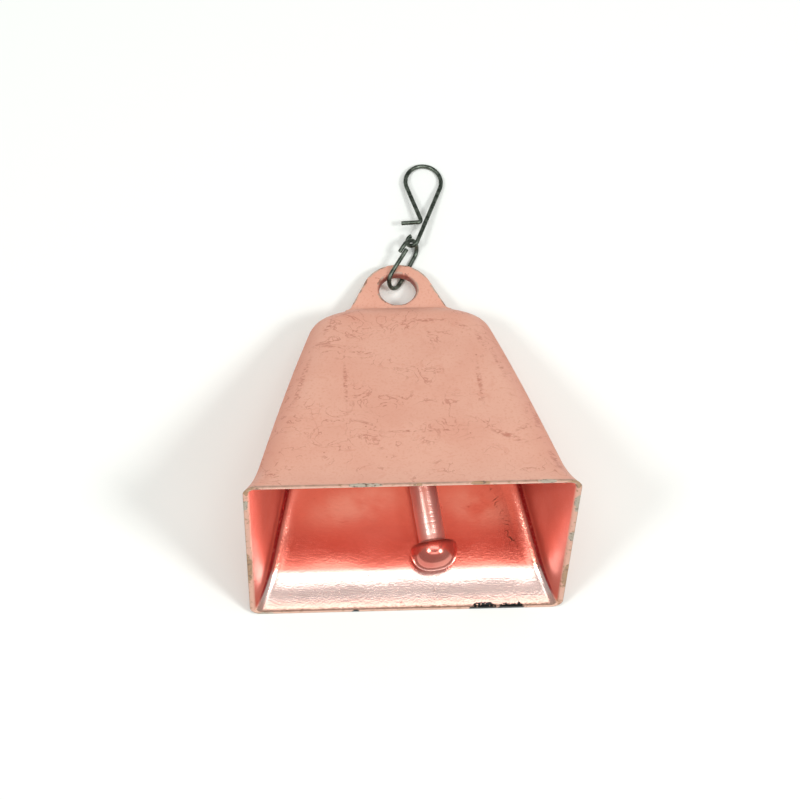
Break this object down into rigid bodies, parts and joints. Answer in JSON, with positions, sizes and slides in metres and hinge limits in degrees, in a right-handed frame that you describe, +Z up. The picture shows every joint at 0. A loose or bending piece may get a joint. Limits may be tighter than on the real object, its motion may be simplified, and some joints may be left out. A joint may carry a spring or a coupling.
{
  "type": "cowbell",
  "caption": "Small tapered sheet-metal cowbell with a pierced hanger lug, a swinging rivet clapper, an open wire link and a sprung wire snap.",
  "frame": {"origin": "centre of the footprint on the table, with the bell lying on its back face", "axes": "+Z up from the table, +Y from the mouth towards the crown, link and snap, +X to the right seen from the mouth with the front face up"},
  "size_m": [0.065, 0.0976, 0.0488],
  "materials": {
    "shell": "satin pale copper coat, coral red inside",
    "hanger": "satin pale copper coat worn to bare metal on the edges",
    "ring_wire": "dull drawn wire",
    "clapper": "glossy copper coat",
    "wire": "dark drawn spring wire"
  },
  "bodies": {
    "bell": {"bell_shell": "shell", "hanger_plate": "hanger"},
    "clapper_ring": {"clapper_ring": "ring_wire"},
    "clapper": {"clapper": "clapper"},
    "link": {"link": "wire"},
    "snap": {"snap_hook": "wire"},
    "latch": {"snap_latch": "wire"}
  },
  "joints": [
    {"name": "clapper_swing", "type": "hinge", "parent": "bell", "child": "clapper_ring", "pos_m": [0, 0.00586, 0.00878], "axis": [-1, 0, 0], "range_deg": [0, 41.2]},
    {"name": "clapper_sway", "type": "hinge", "parent": "clapper_ring", "child": "clapper", "pos_m": [0, 0.00306, 0.00868], "axis": [0, -0.0349, 0.9994], "range_deg": [-40, 24]},
    {"name": "link_swing", "type": "hinge", "parent": "bell", "child": "link", "pos_m": [0, 0.02394, 0.00269], "axis": [1, 0, 0], "range_deg": [-60, 95]},
    {"name": "snap_swing", "type": "hinge", "parent": "link", "child": "snap", "pos_m": [0.0036, 0.03065, 0.00315], "axis": [-0.4741, 0.2012, 0.8572], "range_deg": [-90, 80]},
    {"name": "latch_open", "type": "hinge", "parent": "snap", "child": "latch", "pos_m": [0.00796, 0.04803, 0.00047], "axis": [-0.072, -0.1695, -0.9829], "range_deg": [0, 20], "stiffness_Nm_per_rad": 0.05, "springref_deg": -3.44}
  ]
}
